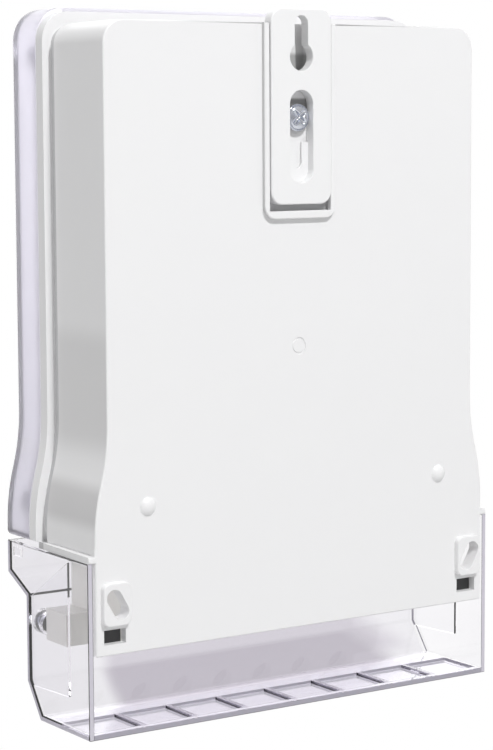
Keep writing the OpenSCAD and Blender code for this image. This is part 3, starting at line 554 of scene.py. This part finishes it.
# ---------------------------------------------------------------- pieces
def new_piece(name, mesh, node, material=None):
    """Puts a finished mesh in the scene on a CAD node's body, with that node's slot and finish."""
    mesh.materials.clear()
    mesh.materials.append(material or FINISH[SLOT_OF[node]])
    piece = bpy.data.objects.new(name, mesh)
    bpy.context.scene.collection.objects.link(piece)
    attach(piece, BODY_OF[node])
    return piece


def outward(mesh, near=0):
    """Merges vertices nearer than a distance and turns every face outwards."""
    bm = bmesh.new()
    bm.from_mesh(mesh)
    if near:
        bmesh.ops.remove_doubles(bm, verts=bm.verts, dist=near)
    bmesh.ops.recalc_face_normals(bm, faces=bm.faces)
    bm.to_mesh(mesh)
    bm.free()


def weighted(mesh, degrees):
    """Smooth shading with sharp edges above an angle and area-weighted normals."""
    mesh.polygons.foreach_set("use_smooth", np.ones(len(mesh.polygons), bool))
    mesh.set_sharp_from_angle(angle=np.radians(degrees))
    holder = bpy.data.objects.new("holder", mesh)
    bpy.context.scene.collection.objects.link(holder)
    level = holder.modifiers.new("level", "WEIGHTED_NORMAL")
    level.keep_sharp = True
    level.weight = 100
    done = bpy.data.meshes.new_from_object(
        holder.evaluated_get(bpy.context.evaluated_depsgraph_get()))
    bpy.data.objects.remove(holder)
    return done


class Edge:
    """One edge of a CAD mesh in mm: its middle, level in Y if it has one, and its side face."""

    def __init__(self, edge):
        a, b = (np.array(v.co) / MM for v in edge.verts)
        self.mid = (a + b) / 2
        self.level = float(self.mid[1]) if abs(a[1] - b[1]) < 0.01 else None
        normals = [np.array(f.normal) for f in edge.link_faces]
        self.side = min(normals, key=lambda n: abs(n[1]))

    def at(self, level):
        return self.level is not None and abs(self.level - level) < 0.03

    def faces_away(self, x, z):
        """Whether its side face looks away from a line along Y at x and z."""
        return (self.mid[0] - x) * self.side[0] + (self.mid[2] - z) * self.side[2] > 0


def softened(node, rules, degrees=32):
    """Stands for a CAD node with chosen sharp edges rounded: rules are (radius mm, steps, test)."""
    bm = bmesh.new()
    bm.from_mesh(NODES[node].data)
    bmesh.ops.remove_doubles(bm, verts=bm.verts, dist=1e-6)
    bmesh.ops.dissolve_limit(bm, angle_limit=np.radians(0.4), verts=bm.verts, edges=bm.edges)
    for radius, steps, test in rules:
        bm.normal_update()
        chosen = [edge for edge in bm.edges
                  if len(edge.link_faces) == 2 and edge.is_convex
                  and edge.link_faces[0].normal.dot(edge.link_faces[1].normal) < 0.5
                  and test(Edge(edge))]
        if chosen:
            bmesh.ops.bevel(bm, geom=chosen, offset=radius * MM, offset_type="OFFSET",
                            segments=steps, profile=0.5, affect="EDGES", clamp_overlap=True,
                            miter_outer="ARC")
    mesh = bpy.data.meshes.new(node + "_soft")
    bm.to_mesh(mesh)
    bm.free()
    piece = new_piece(node + "_soft", weighted(mesh, degrees), node)
    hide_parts(node)
    return piece


def plate_rim(e):
    """Outer edge of the back plate."""
    x, z = abs(e.mid[0]), e.mid[2]
    return e.at(PLATE_REAR) and (z < -17.3 or z > 190.5 or x > 80.6 or (x > 73 and z > 9))


softened("base_housing", [
    (0.9, 4, plate_rim),
    (0.5, 3, lambda e: e.at(FLANGE_REAR) and e.faces_away(0, 90)),
    (0.5, 3, lambda e: e.at(FLANGE_FRONT) and e.faces_away(0, 90)),
    (0.45, 3, lambda e: e.at(RIM_REAR) and abs(e.mid[0]) < 16),
    (0.5, 3, lambda e: e.at(LUG_REAR) and e.faces_away(LUG_X * np.sign(e.mid[0]), 0)),
    (0.3, 2, lambda e: e.at(LUG_REAR)),
])
softened("hanger_slider", [
    (0.5, 3, lambda e: e.at(LUG_REAR) and (abs(e.mid[0]) > 5.5 or e.mid[2] > 195.2
                                           or e.mid[2] < 132)),
    (0.3, 2, lambda e: e.at(LUG_REAR)),
])
softened("main_cover", [
    (4.5, 8, lambda e: e.at(COVER_FRONT) and e.faces_away(0, 100)
     and (abs(e.mid[0]) > 77 or e.mid[2] > 195 or e.mid[2] < 16.5)),
    (0.4, 3, lambda e: e.level is not None and e.level > -43.6 and e.faces_away(0, 100)
     and (abs(e.mid[0]) > 77 or e.mid[2] > 195 or e.mid[2] < 16.5)),
])
softened("terminal_cover", [
    (0.25, 2, lambda e: abs(abs(e.mid[0]) - SIDE_FACE) < 0.05),
], 5)


def ring_quads(rows, turns):
    """Faces between neighbouring rings of points, for a grid with so many rows between rings."""
    i, j = np.meshgrid(np.arange(rows), np.arange(turns), indexing="ij")
    k = (j + 1) % turns
    quads = [i * turns + j, i * turns + k, (i + 1) * turns + k, (i + 1) * turns + j]
    return np.stack(quads, -1).reshape(-1, 4).tolist()


def cross_head(centre, radius, height, rim, under):
    """A domed flange head with a cross recess, facing the wall.

    On a polar grid of r and angle, the height is the rim's plus, on the dome, the rest of the height
    times (1 - (r / dome)^2) to the power 0.45. From it go a cross-shaped pit, whose depth falls off
    smoothly across its four arms, and a fine groove at 0.9 of the radius. The skirt goes down to
    the underside.
    """
    turns, rings = 96, 44
    u = np.linspace(0, 1, rings)
    dome = 0.86 * radius
    reach = np.concatenate([u * radius, [radius, radius]])
    angle = np.linspace(0, 2 * np.pi, turns, endpoint=False)
    r, a = np.meshgrid(reach, angle, indexing="ij")
    lift = rim + (height - rim) * np.sqrt(np.clip(1 - (r / dome) ** 2, 0, 1)) ** 0.9
    x, z = r * np.cos(a), r * np.sin(a)
    s, t = (x + z) / np.sqrt(2), (x - z) / np.sqrt(2)
    arm = 0.15 * radius
    span = 0.56 * radius
    across = np.minimum(np.hypot(np.maximum(np.abs(s) - span, 0), t),
                        np.hypot(np.maximum(np.abs(t) - span, 0), s))
    pit = 1 / (1 + np.exp((across - arm) / (0.18 * arm)))
    lift = lift - 0.8 * height * pit * np.clip(1.25 - r / span, 0, 1) ** 0.5
    lift = lift - 0.4 * rim * np.exp(-((r - 0.9 * radius) / (0.035 * radius)) ** 2)
    lift[-2] = rim * 0.5
    lift[-1] = 0
    round_off = np.clip((r - 0.96 * radius) / (0.04 * radius), 0, 1)
    lift[:-2] -= (0.35 * rim * round_off ** 2)[:-2]
    points = np.stack([centre[0] + x, under + lift, centre[1] + z], -1).reshape(-1, 3)
    lid = [list(range((rings + 1) * turns, (rings + 2) * turns))]
    return points, ring_quads(rings + 1, turns) + lid


def pin_grid(centre, profile, turns=32):
    """A plain pin along Y: circles of the profile's radii at its levels, joined and closed."""
    ring = np.linspace(0, 2 * np.pi, turns, endpoint=False)
    level, radius = (np.array(v)[:, None] for v in zip(*profile))
    points = np.stack([centre[0] + radius * np.cos(ring), level + 0 * ring,
                       centre[1] + radius * np.sin(ring)], -1).reshape(-1, 3)
    ends = np.arange(turns) + np.array([[0], [turns * (len(profile) - 1)]])
    return points, ring_quads(len(profile) - 1, turns) + ends.tolist()


def screw_piece(node, centre, radius, height, rim, under, shank, length):
    """A cross-recessed screw that points forwards: its head's grid and a plain pin below it."""
    head, faces = cross_head(centre, radius, height, rim, under)
    chamfer = 0.4
    pin, pin_faces = pin_grid(centre, [(under + 0.05, shank), (under - length + chamfer, shank),
                                       (under - length, shank - chamfer)])
    faces += [[len(head) + v for v in face] for face in pin_faces]
    mesh = bpy.data.meshes.new(node + "_turned")
    mesh.from_pydata((np.concatenate([head, pin]) * MM).tolist(), [], faces)
    outward(mesh, 1e-7)
    mesh.polygons.foreach_set("use_smooth", np.ones(len(mesh.polygons), bool))
    mesh.set_sharp_from_angle(angle=np.radians(50))
    piece = new_piece(node + "_turned", mesh, node)
    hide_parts(node)
    return piece


low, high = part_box("hanger_screw")
head_depth = 2.0
screw_piece("hanger_screw", (0.0, (low.z + high.z) / 2 / MM), radius=4.7, height=2.1, rim=0.7,
            under=high.y / MM - head_depth, shank=2.0, length=(high.y - low.y) / MM - head_depth)


def segment_figures(text, centre, size, level, depth):
    """Seven-segment figures: each lit bar is a flat six-sided prism; returns vertices and faces."""
    w, h = size
    lit = {"0": "abcdef", "1": "bc", "2": "abged", "3": "abgcd", "4": "fgbc", "5": "afgcd",
           "6": "afgedc", "7": "abc", "8": "abcdefg", "9": "abcdfg"}
    bars = {"a": ((0, h), (w, h)), "b": ((w, h), (w, h / 2)), "c": ((w, h / 2), (w, 0)),
            "d": ((0, 0), (w, 0)), "e": ((0, h / 2), (0, 0)), "f": ((0, h), (0, h / 2)),
            "g": ((0, h / 2), (w, h / 2))}
    pitch = w * 1.6
    t = 0.075 * h
    points, faces = [], []
    left = centre[0] - pitch * (len(text) - 0.4) / 2
    for n, figure in enumerate(text):
        for bar in lit[figure]:
            p, q = (np.array(v, float) for v in bars[bar])
            along = (q - p) / np.linalg.norm(q - p)
            square = np.array([-along[1], along[0]]) * t
            p, q = p + along * t * 0.35, q - along * t * 0.35
            flat = np.array([p, p + along * t + square, q - along * t + square, q,
                             q - along * t - square, p + along * t - square])
            flat = flat + [left + n * pitch, centre[1] - h / 2]
            start = len(points)
            for y in (level, level - depth):
                points += [(v[0], y, v[1]) for v in flat]
            faces += [[start + k for k in range(6)], [start + 11 - k for k in range(6)]]
            faces += [[start + k, start + (k + 1) % 6, start + 6 + (k + 1) % 6, start + 6 + k]
                      for k in range(6)]
    return points, faces


low, high = (np.array(v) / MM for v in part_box("display_glass"))
points, faces = segment_figures("0012648", ((low[0] + high[0]) / 2, (low[2] + high[2]) / 2 + 1),
                                (6.0, 12.0), low[1] - 0.02, 0.12)
mesh = bpy.data.meshes.new("display_figures")
mesh.from_pydata((np.array(points) * MM).tolist(), [], faces)
outward(mesh)
new_piece("display_figures", mesh, "display_glass", FIGURES)


def slabs(name, boxes, node, material):
    """Thin flat plates as one piece: each is the eight corners between a low and a high point."""
    low, high = (np.array(ends, float) for ends in zip(*boxes))
    low, high = np.minimum(low, high), np.maximum(low, high)
    pick = np.array([(i, j, k) for i in (0, 1) for j in (0, 1) for k in (0, 1)])
    points = np.where(pick[None], high[:, None], low[:, None]).reshape(-1, 3)
    sides = np.array([(0, 1, 3, 2), (4, 6, 7, 5), (0, 4, 5, 1), (2, 3, 7, 6), (0, 2, 6, 4),
                      (1, 5, 7, 3)])
    faces = (sides[None] + 8 * np.arange(len(boxes))[:, None, None]).reshape(-1, 4)
    mesh = bpy.data.meshes.new(name)
    mesh.from_pydata((points * MM).tolist(), [], faces.tolist())
    return new_piece(name, mesh, node, material)


def outline_band(name, line, start, end, levels, node, material):
    """A flat band inside a profile in Y and Z, the same on both sides of the part.

    Each corner of the band's two edges is the profile's corner moved in by w along (m + n) /
    (1 + m . n), where m and n are the inward unit normals of the profile's two legs there.
    """
    line = np.array(line, float)
    step = np.diff(line, axis=0)
    inward = np.stack([step[:, 1], -step[:, 0]], -1) / np.linalg.norm(step, axis=1)[:, None]
    before = np.concatenate([inward[:1], inward])
    after = np.concatenate([inward, inward[-1:]])
    move = (before + after) / (1 + (before * after).sum(1))[:, None]
    edge = np.concatenate([line + start * move, line + end * move])
    n = len(line)
    i = np.arange(n - 1)
    strip = np.stack([i, i + 1, n + i + 1, n + i], -1)
    points, faces = [], []
    for side in (-1, 1):
        base = len(points) * 2 * n
        for level in levels:
            points.append(np.column_stack([np.full(2 * n, side * level), edge]))
        far = strip + 2 * n
        rim = np.concatenate([strip[:, [0, 1]], strip[::-1][:, [2, 3]],
                              [[n - 1, 2 * n - 1]], [[n, 0]]])
        wall = np.stack([rim[:, 0], rim[:, 1], rim[:, 1] + 2 * n, rim[:, 0] + 2 * n], -1)
        faces.append(base + np.concatenate([strip, far[:, ::-1], wall]))
    mesh = bpy.data.meshes.new(name)
    mesh.from_pydata((np.concatenate(points) * MM).tolist(), [], np.concatenate(faces).tolist())
    outward(mesh)
    return new_piece(name, mesh, node, material)


# opaque films painted with the pale light and the dark shade seen in the clear cover's cut edges,
# and a dark sheet painted as the shade behind the square openings
EDGE_PAINTED_LIGHT = plastic("painted_light_on_cut_edges", (0.62, 0.6, 0.665), (0.58, 0.56, 0.63), (0.4, 0.5), 1200.0)
RIB_PAINTED_SHADE = plastic("painted_shade_on_rib_edges", (0.4, 0.385, 0.445), (0.36, 0.345, 0.4), (0.4, 0.5), 1200.0)
SHADE = plastic("painted_shade_behind_openings", (0.066, 0.065, 0.067), (0.055, 0.055, 0.056), (0.6, 0.7), 900.0)
FILM = 0.03
slabs("terminal_cover_rear_edge", [
    ((side * (SIDE_FACE - 0.15), LOWER_COVER_REAR, FLOOR + 0.2),
     (side * (SIDE_FACE - SIDE_WALL + 0.15), LOWER_COVER_REAR + FILM, SIDE_TOP - 0.2))
    for side in (-1, 1)], "terminal_cover", EDGE_PAINTED_LIGHT)
half = WINDOW_PITCH / 2 - 0.9
slabs("terminal_cover_floor_edge", [
    ((-SIDE_FACE + SIDE_WALL, LOWER_COVER_REAR, FLOOR + 0.15),
     (SIDE_FACE - SIDE_WALL, LOWER_COVER_REAR + FILM, FLOOR + SIDE_WALL - 0.15)),
    *[((WINDOW_PITCH * (k + 0.5) - half, WINDOW_FRONT + 0.02, FLOOR + WINDOW_SKIN + 0.04),
       (WINDOW_PITCH * (k + 0.5) + half, WINDOW_FRONT + 0.02 + FILM, WINDOW_TOP - 0.02))
      for k in range(-WINDOWS // 2, WINDOWS // 2)],
], "terminal_cover", RIB_PAINTED_SHADE)
# a pale film painted with the light seen in the terminal cover's side edges
outline_band("terminal_cover_side_edge",
             [(LOWER_COVER_REAR - 0.4, FLOOR), (-36.5, FLOOR), (LOWER_COVER_FRONT, -33.3),
              (LOWER_COVER_FRONT, -3.5), (STEP_FRONT, 3.0), (STEP_FRONT, SIDE_TOP - 0.3)],
             0.12, 1.5, (SIDE_FACE - 0.06, SIDE_FACE - 0.1), "terminal_cover", EDGE_PAINTED_LIGHT)
# a dark sheet painted as the shade behind the square openings
slabs("opening_shade", [
    ((side * 71.1, PLATE_FRONT - 0.1, -14.4), (side * 80.2, PLATE_FRONT - 0.2, -8.0))
    for side in (-1, 1)], "base_housing", SHADE)

shown = {"base_housing", "hanger_slider", "main_cover", "terminal_cover", "hanger_screw"}
for name, node in NODES.items():
    if name not in shown:
        node.data.materials.clear()
        node.data.materials.append(FINISH[SLOT_OF[name]])
